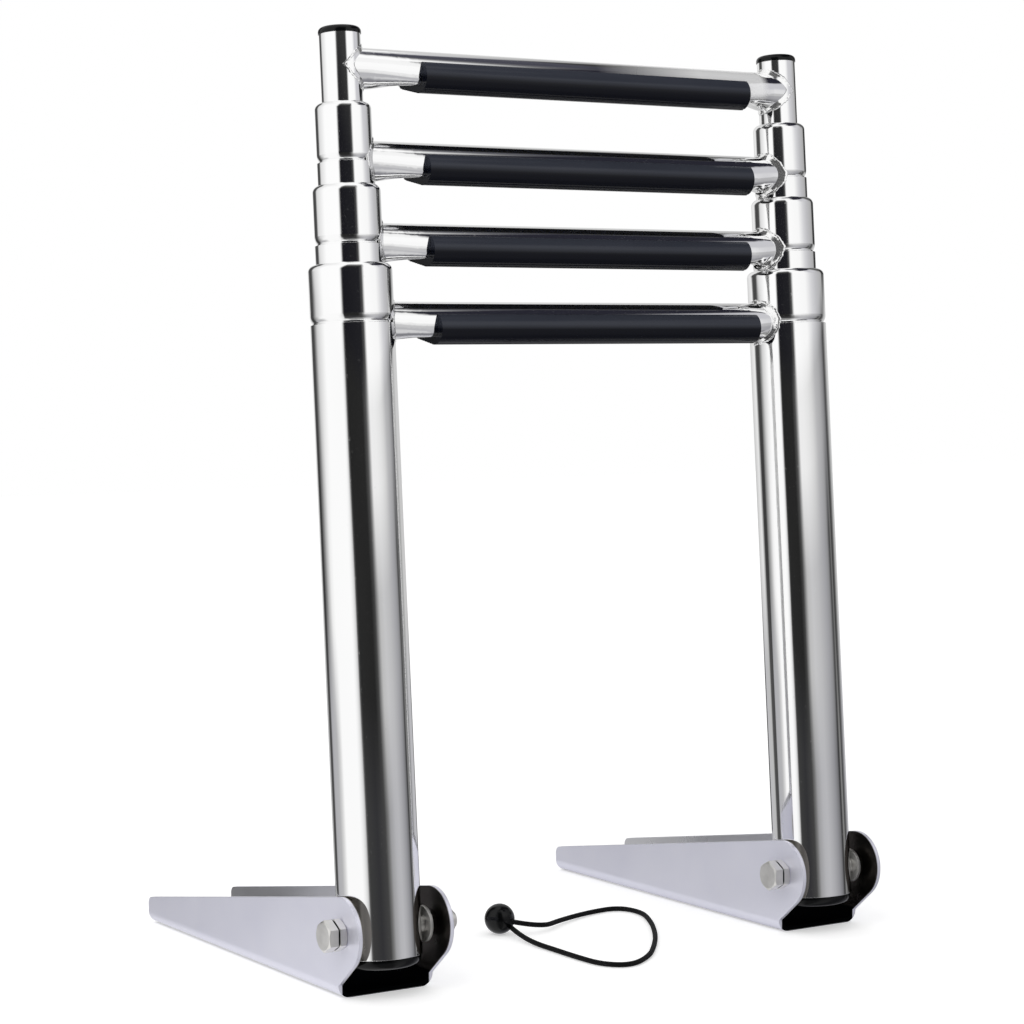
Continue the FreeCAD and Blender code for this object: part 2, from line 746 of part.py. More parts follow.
def tread(number, height, left, right):
    """The plastic step, snapped over the pressed middle of a rung."""
    body = leg_body(f"tread_{number}", -leg_shift, height)
    start = left - leg_spacing / 2
    length = leg_spacing - left - right
    sketch = new_sketch(body, "section", "YZ_Plane", start, rung_tilt)
    radius, wide, shoulder, flat, drop = rung_form(1, zero)
    over, centre = over_top(radius, wide, shoulder)
    under = -drop - seat_gap - tread_wall
    nose = wide + seat_gap + tread_nose - tread_round
    nose_height = under + tread_round
    edge = nose_height + tread_round * sine(tread_grip)
    edge_out = nose + tread_round * cosine(tread_grip)
    around = over + seat_gap
    edge_in = root(around * around - (edge - centre) * (edge - centre))
    inner_wide = root(around * around - (shoulder - centre) * (shoulder - centre))
    inner_low = -drop - seat_gap
    inner_corner = shoulder - inner_low
    outline(sketch, [
        (-nose, under),
        (nose, under, tread_round, 1),
        (edge_out, edge),
        (edge_in, edge, around, -1),
        (inner_wide, shoulder, inner_corner, -1),
        (inner_wide - inner_corner, inner_low),
        (inner_corner - inner_wide, inner_low, inner_corner, -1),
        (-inner_wide, shoulder, around, -1),
        (-edge_in, edge),
        (-edge_out, edge, tread_round, 1),
    ])
    pushed(body, sketch, "Pad", length)
    grip = new_sketch(body, "grip", "YZ_Plane", start, rung_tilt)
    first = -grip_pitch * (grip_count - 1) / 2
    outline(grip, [
        (first - grip_width / 2, under - grip_depth),
        (first + grip_width / 2, under - grip_depth),
        (first + grip_width / 2, under + grip_depth),
        (first - grip_width / 2, under + grip_depth),
    ])
    groove = pushed(body, grip, "Pocket", length * 2)
    groove.SideType = "Symmetric"
    grooves = body.newObject("PartDesign::LinearPattern", f"{body.Name}_grip_lines")
    grooves.Originals = [groove]
    grooves.Direction = (grip, ["H_Axis"])
    span = grip_pitch * (grip_count - 1)
    grooves.Length = span.value
    bind(grooves, "Length", span)
    grooves.Occurrences = int(grip_count.value)
    bind(grooves, "Occurrences", grip_count)
    body.Tip = grooves
    nose_grip(body, start, length, nose, under)


# The cord leaves the ball, lies in one loop on the deck and comes back into the ball
CORD_ROUTE = (
    (-17.0, -24.9, 9.0),
    (1.5, -33.6, 4.5),
    (29.0, -14.5, 2.8),
    (61.8, 0.1, 1.7),
    (87.4, 2.1, 1.7),
    (91.6, -21.0, 1.7),
    (78.5, -49.2, 1.7),
    (66.9, -69.4, 1.7),
    (52.4, -91.7, 1.7),
    (36.6, -112.3, 1.7),
    (18.1, -133.8, 1.7),
    (-6.0, -149.8, 1.7),
    (-20.7, -137.2, 1.7),
    (-22.2, -108.8, 1.7),
    (-22.0, -86.0, 1.7),
    (-22.5, -61.4, 1.9),
    (-20.4, -39.5, 3.6),
    (-16.3, -23.2, 5.0),
)


def cord_line(route):
    """Straight runs joined by tangent arcs, each as large as its two runs allow."""
    points = [Vector(*point) for point in route]
    edges = []
    radii = []
    here = points[0]
    for before, corner, after in zip(points, points[1:], points[2:]):
        back = before - corner
        on = after - corner
        shorter = min(back.Length, on.Length)
        back.normalize()
        on.normalize()
        half_turn = (math.pi - back.getAngle(on)) / 2
        setback = 0.45 * shorter
        radius = setback / math.tan(half_turn)
        start = corner + back * setback
        end = corner + on * setback
        inward = (back + on).normalize()
        centre = corner + inward * (radius / math.cos(half_turn))
        middle = centre - inward * radius
        edges.append(Part.LineSegment(here, start).toShape())
        edges.append(Part.Arc(start, middle, end).toShape())
        radii.append(radius)
        here = end
    edges.append(Part.LineSegment(here, points[-1]).toShape())
    return Part.Wire(edges), radii


def cord_and_ball():
    thickness = sheet.get("cord_diameter")
    line, radii = cord_line(CORD_ROUTE)
    start = line.Edges[0].valueAt(line.Edges[0].FirstParameter)
    heading = line.Edges[0].tangentAt(line.Edges[0].FirstParameter)
    end_circle = Part.Wire([Part.Circle(start, heading, thickness / 2).toShape()])
    tube = line.makePipeShell([end_circle], True, True)
    cord = doc.addObject("Part::Feature", "bungee_cord")
    cord.Label = "bungee_cord"
    cord.Shape = tube
    cord.Placement = FreeCAD.Placement()
    section = math.pi * thickness ** 2 / 4
    print("cord length", round(line.Length, 1), "smallest radii", [round(r, 1) for r in sorted(radii)[:4]])
    print("cord volume over section times length", round(tube.Volume / (section * line.Length), 4))
    ball = doc.addObject("Part::Sphere", "bungee_ball")
    ball.Label = "bungee_ball"
    bind(ball, "Radius", ball_diameter / 2)
    bind(ball, ".Placement.Base.x", -ball_side)
    bind(ball, ".Placement.Base.y", -ball_front)
    bind(ball, ".Placement.Base.z", ball_diameter / 2)
    return cord, ball


for side, sign in (("left", -1), ("right", 1)):
    bracket_centre = sign * leg_spacing / 2
    leg_centre = bracket_centre - leg_shift
    bracket(f"bracket_{side}", bracket_centre)
    pivot_set(side, bracket_centre)
    outer_leg(side, leg_centre)
    sliding_legs(side, leg_centre)

STAGES = (
    (4, rung_4_height, outer_tube_radius, tread_4_left, tread_right),
    (3, rung_3_height, third_tube_radius, tread_left, tread_3_right),
    (2, rung_2_height, second_tube_radius, tread_left, tread_right),
    (1, rung_1_height, first_tube_radius, tread_left, tread_right),
)
for number, height, leg_radius, left, right in STAGES:
    rung(number, height, leg_radius)
    tread(number, height, left, right)

doc.recompute()
loose_parts = list(cord_and_ball())
doc.recompute()

bad = [item.Name for item in doc.Objects if "Invalid" in item.State or "Error" in item.State]
if bad:
    raise SystemExit("failed: " + ", ".join(bad))
pieces = [item for item in doc.Objects if item.TypeId == "PartDesign::Body"] + loose_parts
for piece in pieces:
    if piece.Shape.isNull() or not piece.Shape.isValid() or len(piece.Shape.Solids) != 1:
        raise SystemExit("no single valid solid: " + piece.Label)
os.makedirs("parts", exist_ok=True)
for piece in pieces:
    piece.Shape.exportStep(f"parts/{piece.Label}.step")
print(len(pieces), "pieces written")
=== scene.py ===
import json
import math
import bmesh
import bpy
from mathutils import Matrix, Vector


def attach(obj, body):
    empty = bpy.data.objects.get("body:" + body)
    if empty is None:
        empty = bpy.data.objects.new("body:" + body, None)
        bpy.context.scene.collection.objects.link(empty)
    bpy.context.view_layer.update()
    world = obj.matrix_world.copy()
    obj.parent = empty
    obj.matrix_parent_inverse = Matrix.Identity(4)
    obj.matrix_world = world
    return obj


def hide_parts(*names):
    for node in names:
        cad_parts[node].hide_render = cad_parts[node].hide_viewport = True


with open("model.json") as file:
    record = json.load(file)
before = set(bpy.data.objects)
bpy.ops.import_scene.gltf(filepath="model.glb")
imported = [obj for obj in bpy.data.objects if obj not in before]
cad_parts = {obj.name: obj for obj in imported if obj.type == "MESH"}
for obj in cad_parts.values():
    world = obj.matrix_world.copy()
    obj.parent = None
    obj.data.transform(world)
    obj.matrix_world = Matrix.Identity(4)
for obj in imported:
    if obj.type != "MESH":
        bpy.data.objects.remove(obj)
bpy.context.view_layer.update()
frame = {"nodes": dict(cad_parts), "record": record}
nodes = frame["nodes"]

# Camera: place, lens and sensor in millimetres, angles in degrees, range of view in metres
CAMERA_PLACE = (-949.6, -1510.8, 374.7)
CAMERA_HEADING = 32.22
CAMERA_DIP = 3.11
CAMERA_ROLL = -0.54
CAMERA_LENS = 94.45
CAMERA_SENSOR = 36
CAMERA_RANGE = (0.05, 50)


def make_camera():
    heading = math.radians(CAMERA_HEADING)
    dip = math.radians(CAMERA_DIP)
    roll = math.radians(CAMERA_ROLL)
    look = Vector((
        math.sin(heading) * math.cos(dip),
        math.cos(heading) * math.cos(dip),
        -math.sin(dip),
    ))
    level = Vector((math.cos(heading), -math.sin(heading), 0))
    rise = level.cross(look)
    right = level * math.cos(roll) + rise * math.sin(roll)
    up = rise * math.cos(roll) - level * math.sin(roll)
    data = bpy.data.cameras.new("camera")
    data.lens = CAMERA_LENS
    data.sensor_width = CAMERA_SENSOR
    data.sensor_fit = "HORIZONTAL"
    data.clip_start, data.clip_end = CAMERA_RANGE
    camera = bpy.data.objects.new("camera", data)
    turn = Matrix((right, up, -look)).transposed().to_4x4()
    camera.matrix_world = Matrix.Translation(Vector(CAMERA_PLACE) / 1000) @ turn
    bpy.context.scene.collection.objects.link(camera)
    bpy.context.scene.camera = camera


make_camera()
bpy.context.scene.view_settings.view_transform = "Standard"


class Tree:
    """A short way to write a node tree."""

    def __init__(self, tree):
        self.tree = tree
        tree.nodes.clear()

    def put(self, target, value):
        if isinstance(value, bpy.types.NodeSocket):
            self.tree.links.new(value, target)
        else:
            target.default_value = value

    def add(self, kind, sockets=None, **settings):
        node = self.tree.nodes.new(kind)
        for name, value in settings.items():
            setattr(node, name, value)
        for name, value in (sockets or {}).items():
            self.put(node.inputs[name], value)
        return node

    def math(self, operation, first, second=0.0):
        return self.add("ShaderNodeMath", {0: first, 1: second}, operation=operation).outputs[0]

    def axes(self, place):
        return self.add("ShaderNodeSeparateXYZ", {"Vector": place}).outputs

    def stretch(self, value, low, high, to_low=0.0, to_high=1.0):
        node = self.add("ShaderNodeMapRange", {
            "Value": value,
            "From Min": low,
            "From Max": high,
            "To Min": to_low,
            "To Max": to_high,
        })
        return node.outputs[0]

    def ramp(self, value, stops):
        node = self.add("ShaderNodeValToRGB", {"Fac": value})
        elements = node.color_ramp.elements
        while len(elements) < len(stops):
            elements.new(0.5)
        for element, (place, colour) in zip(elements, stops):
            element.position = place
            element.color = colour + (1,)
        return node.outputs["Color"]

    def blend(self, share, first, second):
        node = self.add("ShaderNodeMix", {"Factor": share}, data_type="RGBA")
        self.put(node.inputs[6], first)
        self.put(node.inputs[7], second)
        return node.outputs[2]

    def noise(self, place, scale, detail=2.0, rough=0.5):
        sockets = {"Vector": place, "Scale": scale, "Detail": detail, "Roughness": rough}
        return self.add("ShaderNodeTexNoise", sockets).outputs["Fac"]

    def scaled(self, place, scale):
        return self.add("ShaderNodeMapping", {"Vector": place, "Scale": scale}).outputs[0]


def grey(value, blue=0.0):
    """A grey with a little more blue in it."""
    return (value, value, value + blue)


def round_stops(stops):
    """Stops by degrees to the left of the camera, as places from 0 to 1."""
    return [(0.5 + degrees / 360, colour) for degrees, colour in stops]


# The light tent's rings from below to above: white cloth with dark gaps in front, at the sides and behind.
# Each stop has its degrees to the left of the camera and a tone, set after the bright and dark bands
# that the tubes in the photograph show
TENT_FLOOR = round_stops([
    (-180, grey(0.60, 0.03)),
    (-130, grey(0.28, 0.02)),
    (-95, grey(0.18, 0.02)),
    (-76, grey(0.26, 0.02)),
    (-60, grey(0.62, 0.01)),
    (-40, grey(0.66)),
    (-22, grey(0.26)),
    (15, grey(0.26)),
    (40, grey(0.95)),
    (90, grey(0.95)),
    (180, grey(0.60, 0.03)),
])
TENT_FOOT = round_stops([
    (-180, grey(0.04)),
    (-173, grey(0.05)),
    (-167, grey(0.50, 0.02)),
    (-142, grey(0.48, 0.02)),
    (-131, grey(0.20, 0.01)),
    (-122, grey(0.04)),
    (-116, grey(0.25)),
    (-108, grey(0.02)),
    (-101, grey(0.18, 0.01)),
    (-90, grey(0.29, 0.02)),
    (-75, grey(0.40, 0.02)),
    (-62, grey(0.47, 0.02)),
    (-50, grey(0.45, 0.02)),
    (-35, grey(0.33, 0.01)),
    (-28, grey(0.17)),
    (-20, grey(0.055)),
    (0, grey(0.032, 0.003)),
    (21, grey(0.045)),
    (24, grey(0.10)),
    (27, grey(0.62)),
    (32, grey(0.84)),
    (38, grey(0.97)),
    (72, grey(0.97)),
    (80, grey(0.68)),
    (90, grey(0.46, 0.01)),
    (109, grey(0.42, 0.02)),
    (115, grey(0.06)),
    (128, grey(0.08)),
    (136, grey(0.50)),
    (167, grey(0.50, 0.02)),
    (173, grey(0.05)),
    (180, grey(0.04)),
])
TENT_LOW = round_stops([
    (-180, grey(0.55)),
    (-148, grey(0.58)),
    (-137, grey(0.42)),
    (-128, grey(0.12)),
    (-121, grey(0.03)),
    (-116, grey(0.17)),
    (-109, grey(0.05)),
    (-101, grey(0.27, 0.01)),
    (-90, grey(0.35, 0.02)),
    (-64, grey(0.50, 0.01)),
    (-46, grey(0.56, 0.01)),
    (-32, grey(0.50)),
    (-25, grey(0.24)),
    (-19, grey(0.055)),
    (-10, grey(0.018)),
    (22, grey(0.022)),
    (25.5, grey(0.08)),
    (28, grey(0.62)),
    (33, grey(0.88)),
    (38, grey(0.98)),
    (76, grey(0.97)),
    (86, grey(0.86)),
    (97, grey(0.50)),
    (109, grey(0.20)),
    (116, grey(0.04)),
    (128, grey(0.05)),
    (136, grey(0.50)),
    (143, grey(0.80)),
    (180, grey(0.55)),
])
TENT_MIDDLE = round_stops([
    (-180, grey(0.62)),
    (-146, grey(0.60)),
    (-136, grey(0.46)),
    (-129, grey(0.20)),
    (-122, grey(0.05)),
    (-112, grey(0.24, 0.01)),
    (-98, grey(0.40, 0.01)),
    (-84, grey(0.48, 0.01)),
    (-70, grey(0.68)),
    (-58, grey(0.78)),
    (-44, grey(0.84)),
    (-29, grey(0.85)),
    (-23, grey(0.30)),
    (-18, grey(0.08)),
    (-9, grey(0.020)),
    (24, grey(0.018)),
    (27, grey(0.10)),
    (30, grey(0.75)),
    (34, grey(0.97)),
    (72, grey(0.98)),
    (97, grey(0.62)),
    (108, grey(0.22)),
    (115, grey(0.06)),
    (129, grey(0.06)),
    (134, grey(0.20)),
    (140, grey(0.85)),
    (180, grey(0.62)),
])
TENT_HIGH = round_stops([
    (-180, grey(0.70)),
    (-158, grey(0.40)),
    (-148, grey(0.03)),
    (-133, grey(0.03)),
    (-128, grey(0.40)),
    (-101, grey(0.52, 0.02)),
    (-87, grey(0.65, 0.02)),
    (-67, grey(0.94)),
    (-29, grey(0.98)),
    (-26, grey(0.62)),
    (-22, grey(0.08)),
    (-14, grey(0.015, 0.003)),
    (25, grey(0.010, 0.003)),
    (27, grey(0.10)),
    (30.5, grey(0.86)),
    (33, grey(1.0)),
    (74, grey(0.99)),
    (86, grey(0.86)),
    (105, grey(0.70)),
    (109, grey(0.40)),
    (113, grey(0.07)),
    (137, grey(0.06)),
    (142, grey(0.50)),
    (150, grey(0.85)),
    (180, grey(0.70)),
])
TENT_UPPER = round_stops([
    (-180, grey(0.72)),
    (-160, grey(0.50)),
    (-148, grey(0.10)),
    (-128, grey(0.10)),
    (-118, grey(0.45, 0.01)),
    (-108, grey(0.58, 0.03)),
    (-84, grey(0.56, 0.03)),
    (-74, grey(0.84, 0.01)),
    (-66, grey(0.97)),
    (-29, grey(0.99)),
    (-24, grey(0.40)),
    (-20, grey(0.04)),
    (20, grey(0.03)),
    (25, grey(0.10)),
    (30, grey(0.90)),
    (34, grey(1.0)),
    (74, grey(0.99)),
    (90, grey(0.84)),
    (106, grey(0.72)),
    (113, grey(0.08)),
    (137, grey(0.08)),
    (146, grey(0.80)),
    (180, grey(0.72)),
])
TENT_SHADE = round_stops([
    (-180, grey(0.55)),
    (-167, grey(0.30)),
    (-160, grey(0.03)),
    (-120, grey(0.02, 0.01)),
    (-67, grey(0.02, 0.01)),
    (-61, grey(0.90)),
    (-29, grey(0.99)),
    (-22, grey(0.25)),
    (22, grey(0.25)),
    (34, grey(1.0)),
    (120, grey(0.80)),
    (180, grey(0.60)),
])
TENT_DARK = round_stops([
    (-180, grey(0.60)),
    (-168, grey(0.45)),
    (-160, grey(0.05)),
    (-120, grey(0.02, 0.01)),
    (-67, grey(0.02, 0.01)),
    (-61, grey(0.90)),
    (-29, grey(0.99)),
    (-22, grey(0.45)),
    (22, grey(0.45)),
    (34, grey(1.0)),
    (120, grey(0.80)),
    (180, grey(0.60)),
])
TENT_TOP = round_stops([
    (-180, grey(0.70)),
    (-166, grey(0.50, 0.02)),
    (-158, grey(0.08, 0.02)),
    (-116, grey(0.06, 0.02)),
    (-96, grey(0.14, 0.01)),
    (-84, grey(0.60)),
    (-72, grey(1.0)),
    (180, grey(1.0)),
])

# The tent's radius and centre in metres and the heading of its zero in degrees. The heights between which
# each ring takes over from the one below, and the white lid from the last, are shares of the radius
TENT_RADIUS = 0.79
TENT_CENTRE = (0.0, -0.1, 0.3)
TENT_HEADING = 33.7
TENT_LID = (0.985, 0.994)
TENT_LEVELS = (
    (-0.62, -0.48, TENT_FOOT),
    (-0.28, -0.16, TENT_LOW),
    (-0.04, 0.08, TENT_MIDDLE),
    (0.17, 0.22, TENT_HIGH),
    (0.42, 0.52, TENT_UPPER),
    (0.71, 0.75, TENT_SHADE),
    (0.80, 0.83, TENT_DARK),
    (0.89, 0.92, TENT_TOP),
)


def angle_share(t, x, y):
    """Where a direction lies on a ring, as a place from 0 to 1."""
    angle = t.math("ARCTAN2", t.math("MULTIPLY", x, -1.0), t.math("MULTIPLY", y, -1.0))
    turned = t.math("SUBTRACT", angle, math.radians(TENT_HEADING))
    return t.math("FRACT", t.math("ADD", t.math("DIVIDE", turned, 2 * math.pi), 0.5))


# Plain light: the world's strength, the floor and its own glow to the camera, and the one soft lamp
WHITE = (1, 1, 1, 1)
WORLD_STRENGTH = 0.8
FLOOR_REACH = 6.0
FLOOR_DROP = 0.0002
FLOOR_COLOUR = (0.8, 0.8, 0.8, 1)
FLOOR_GLOW = 0.42
LAMP_PLACE = (-1.5, -0.8, 2.1)
LAMP_TARGET = (0, -0.1, 0.2)
LAMP_SIZE = 1.5
LAMP_ENERGY = 13


def make_world():
    """Plain light all round. The camera sees white, and shiny surfaces see one ring of the tent."""
    world = bpy.data.worlds.new("studio")
    bpy.context.scene.world = world
    world.use_nodes = True
    t = Tree(world.node_tree)
    light = t.add("ShaderNodeLightPath")
    soft = t.add("ShaderNodeBackground", {"Color": WHITE, "Strength": WORLD_STRENGTH})
    white = t.add("ShaderNodeBackground", {"Color": WHITE, "Strength": 1.0})
    seen = t.math("MAXIMUM", light.outputs["Is Camera Ray"], light.outputs["Is Transmission Ray"])
    x, y, z = t.axes(t.add("ShaderNodeTexCoord").outputs["Generated"])
    cloth = t.ramp(angle_share(t, x, y), TENT_HIGH)
    beyond = t.add("ShaderNodeBackground", {"Color": cloth, "Strength": 1.0})
    plain = t.add("ShaderNodeMixShader", {0: seen, 1: soft.outputs[0], 2: white.outputs[0]})
    shiny = light.outputs["Is Glossy Ray"]
    final = t.add("ShaderNodeMixShader", {0: shiny, 1: plain.outputs[0], 2: beyond.outputs[0]})
    t.add("ShaderNodeOutputWorld", {"Surface": final.outputs[0]})


def make_tent():
    """A white tent with dark gaps, which only shiny surfaces show."""
    mesh = bpy.data.meshes.new("tent")
    build = bmesh.new()
    bmesh.ops.create_uvsphere(build, u_segments=96, v_segments=48, radius=TENT_RADIUS)
    build.to_mesh(mesh)
    build.free()
    tent = bpy.data.objects.new("tent", mesh)
    bpy.context.scene.collection.objects.link(tent)
    tent.location = TENT_CENTRE
    tent.visible_camera = False
    tent.visible_diffuse = False
    tent.visible_transmission = False
    tent.visible_shadow = False
    tent.visible_volume_scatter = False
    material = bpy.data.materials.new("tent_cloth")
    material.use_nodes = True
    material.cycles.emission_sampling = "NONE"
    t = Tree(material.node_tree)
    x, y, z = t.axes(t.add("ShaderNodeTexCoord").outputs["Object"])
    share = angle_share(t, x, y)
    level = t.math("DIVIDE", z, TENT_RADIUS)
    cloth = t.ramp(share, TENT_FLOOR)
    for low, high, stops in TENT_LEVELS:
        cloth = t.blend(t.stretch(level, low, high), cloth, t.ramp(share, stops))
    cloth = t.blend(t.stretch(level, *TENT_LID), cloth, WHITE)
    glow = t.add("ShaderNodeEmission", {"Color": cloth, "Strength": 1.0})
    t.add("ShaderNodeOutputMaterial", {"Surface": glow.outputs[0]})
    mesh.materials.append(material)


def make_floor():
    """A plain floor that keeps the object's shadow and is not seen in the steel."""
    mesh = bpy.data.meshes.new("floor")
    corners = [(x * FLOOR_REACH, y * FLOOR_REACH, 0) for x, y in ((-1, -1), (1, -1), (1, 1), (-1, 1))]
    mesh.from_pydata(corners, [], [(0, 1, 2, 3)])
    floor = bpy.data.objects.new("floor", mesh)
    bpy.context.scene.collection.objects.link(floor)
    floor.location.z = -FLOOR_DROP
    floor.visible_glossy = False
    material = bpy.data.materials.new("floor_white")
    material.use_nodes = True
    t = Tree(material.node_tree)
    diffuse = t.add("ShaderNodeBsdfDiffuse", {"Color": FLOOR_COLOUR})
    light = t.add("ShaderNodeLightPath")
    strength = t.math("MULTIPLY", light.outputs["Is Camera Ray"], FLOOR_GLOW)
    glow = t.add("ShaderNodeEmission", {"Color": WHITE, "Strength": strength})
    both = t.add("ShaderNodeAddShader", {0: diffuse.outputs[0], 1: glow.outputs[0]})
    t.add("ShaderNodeOutputMaterial", {"Surface": both.outputs[0]})
    mesh.materials.append(material)


def make_lamp():
    lamp = bpy.data.lights.new("key", "AREA")
    lamp.size = LAMP_SIZE
    lamp.energy = LAMP_ENERGY
    item = bpy.data.objects.new("key", lamp)
    item.location = LAMP_PLACE
    item.rotation_euler = (Vector(LAMP_TARGET) - item.location).to_track_quat("-Z", "Y").to_euler()
    item.visible_glossy = False
    bpy.context.scene.collection.objects.link(item)


make_world()
make_tent()
make_floor()
make_lamp()

# Places in metres that the materials use: how far a bracket's middle is from the ladder's, and the bolts'
# depth and height. A mask in a material gives the two places, also in metres, between which it sets in
SIDE_MIDDLE = 0.165
BOLT_PLACE = (-0.123, 0.0395)

# Colours of the materials
STEEL = (0.985, 0.985, 0.985, 1)
WELD_STEEL = (0.985, 0.985, 0.98, 1)
SATIN = ((0.87, 0.87, 1.0, 1), (0.92, 0.92, 1.0, 1))
SATIN_INSIDE = (0.88, 0.88, 0.91, 1)
# Painted shade line along the outside foot of each bracket plate
SHADE_UNDER = (0.10, 0.10, 0.11, 1)
# Painted reflections on the channel walls inside each bracket: the far wall dark, the near wall paler
FAR_WALL_PAINTED_REFLECTION = (0.060, 0.053, 0.048, 1)
NEAR_WALL_PAINTED_REFLECTION = (0.36, 0.34, 0.31, 1)
# Painted black low in front inside each bracket's channel, standing in for shade and dark reflection
CHANNEL_PAINTED_BLACK = (0.0016, 0.0018, 0.0021, 1)
# Painted highlight along the bottom of the web's front edge
CHANNEL_EDGE_HIGHLIGHT = (0.20, 0.20, 0.20, 1)
BOLT_STEEL = ((0.66, 0.65, 0.62, 1), (0.88, 0.87, 0.85, 1))
# Painted shade in the gap under each bolt head
BOLT_GAP_SHADE = (0.02, 0.02, 0.02, 1)
# Painted shade on the sleeve between the bracket plates
SLEEVE_PAINTED_SHADE = (0.045, 0.042, 0.038, 1)
TREAD_BLACK = (0.0018, 0.0024, 0.0062, 1)
# Painted sheen high on the front of each tread
TREAD_PAINTED_SHEEN = ((0.026, 0.029, 0.040, 1), (0.040, 0.044, 0.058, 1))
GLOSS_BLACK = (0.0025, 0.0028, 0.0032, 1)
NYLON = ((0.62, 0.61, 0.57, 1), (0.72, 0.71, 0.67, 1))
BRAID_BLACK = (0.002, 0.002, 0.0024, 1)
BRAID_FLECK = (0.020, 0.020, 0.022, 1)


def finish_material(name, build):
    """A material from what build returns: sockets, bump height, strength and distance, and edge radius."""
    material = bpy.data.materials.new(name)
    material.use_nodes = True
    t = Tree(material.node_tree)
    place = t.add("ShaderNodeTexCoord").outputs["Object"]
    sockets, height, strength, distance, edge = build(t, place)
    shader = t.add("ShaderNodeBsdfPrincipled", sockets)
    bump = t.add("ShaderNodeBump", {"Height": height, "Strength": strength, "Distance": distance})
    if edge:
        rounded = t.add("ShaderNodeBevel", {"Radius": edge}, samples=4)
        t.put(bump.inputs["Normal"], rounded.outputs[0])
    t.put(shader.inputs["Normal"], bump.outputs[0])
    t.add("ShaderNodeOutputMaterial", {"Surface": shader.outputs[0]})
    return material


def polished(t, place):
    """Polished stainless tube: faint marks along its length, smears from handling, and one hazy place."""
    lines = t.noise(t.scaled(place, (1400, 1400, 25)), 1.0, 3.0)
    smears = t.noise(place, 16.0, 4.0, 0.6)
    spots = t.noise(place, 420.0, 1.0)
    x, y, z = t.axes(place)
    right_part = t.math("MULTIPLY", t.stretch(x, 0.01, 0.09), t.stretch(x, 0.146, 0.140))
    haze = t.math("MULTIPLY", right_part, t.stretch(z, 0.545, 0.552))
    worn = t.math("ADD", t.stretch(smears, 0.35, 0.7, 0.030, 0.065), t.stretch(spots, 0.68, 0.78, 0.0, 0.12))
    rough = t.math("ADD", worn, t.math("MULTIPLY", haze, 0.06))
    metal = t.stretch(haze, 0.0, 1.0, 1.0, 0.32)
    sockets = {"Base Color": STEEL, "Metallic": metal, "Roughness": rough}
    return sockets, lines, 0.05, 0.00004, 0.0004


def bracket(t, place):
    """Bracket sheet: satin outside, smoother inside the channel, with painted shade and reflection inside:
    black low in front, a painted highlight on the web's lower front edge, dark walls with the near one paler,
    and a painted shade line along each plate's outside foot.
    """
    x, y, z = t.axes(place)
    across = t.math("ABSOLUTE", t.math("SUBTRACT", t.math("ABSOLUTE", x), SIDE_MIDDLE))
    between = t.stretch(across, 0.0303, 0.0297)
    lip = t.stretch(y, -0.1186, -0.1189)
    inner = t.math("MULTIPLY", between, t.math("MAXIMUM", t.stretch(z, 0.0024, 0.0029), lip))
    set_back = t.math("MULTIPLY", t.stretch(z, 0.0065, 0.0045), 0.04)
    front = t.stretch(t.math("SUBTRACT", y, set_back), -0.065, -0.095)
    low = t.stretch(z, 0.0130, 0.0095)
    grain = t.noise(t.scaled(place, (900, 14, 900)), 1.0, 3.0)
    cloud = t.noise(place, 22.0, 4.0, 0.6)
    satin = t.blend(cloud, *SATIN)
    # Painted shade: a dark line along the outside foot of each plate
    under = t.math("MULTIPLY", t.stretch(z, 0.0014, 0.0006), t.stretch(across, 0.0255, 0.0265))
    outside = t.blend(under, satin, SHADE_UNDER)
    middle = t.math("MULTIPLY", t.math("SIGN", x), SIDE_MIDDLE)
    near = t.stretch(t.math("SUBTRACT", x, middle), 0.0, -0.01)
    # Painted reflection: the far wall inside the channel dark, the near wall paler
    wall = t.blend(near, FAR_WALL_PAINTED_REFLECTION, NEAR_WALL_PAINTED_REFLECTION)
    # Painted highlight: a pale line along the bottom of the web's front edge, below the painted black
    web = t.blend(t.stretch(z, 0.0006, 0.0003), CHANNEL_PAINTED_BLACK, CHANNEL_EDGE_HIGHLIGHT)
    dark = t.blend(low, wall, web)
    inside = t.blend(front, SATIN_INSIDE, dark)
    colour = t.blend(inner, outside, inside)
    smooth = t.stretch(cloud, 0.3, 0.7, 0.40, 0.48)
    rough = t.math("SUBTRACT", smooth, t.math("MULTIPLY", inner, 0.14))
    # Painted black: the channel's low front loses its metal and specular level, so it stays black from every
    # side
    painted_black_mask = t.math("MULTIPLY", t.math("MULTIPLY", inner, low), front)
    metal = t.math("SUBTRACT", t.stretch(inner, 0.0, 1.0, 0.66, 1.0), painted_black_mask)
    sheen = t.stretch(painted_black_mask, 0.0, 1.0, 0.5, 0.0)
    sockets = {"Base Color": colour, "Metallic": metal, "Roughness": rough, "Specular IOR Level": sheen}
    return sockets, grain, 0.06, 0.00006, 0.0007


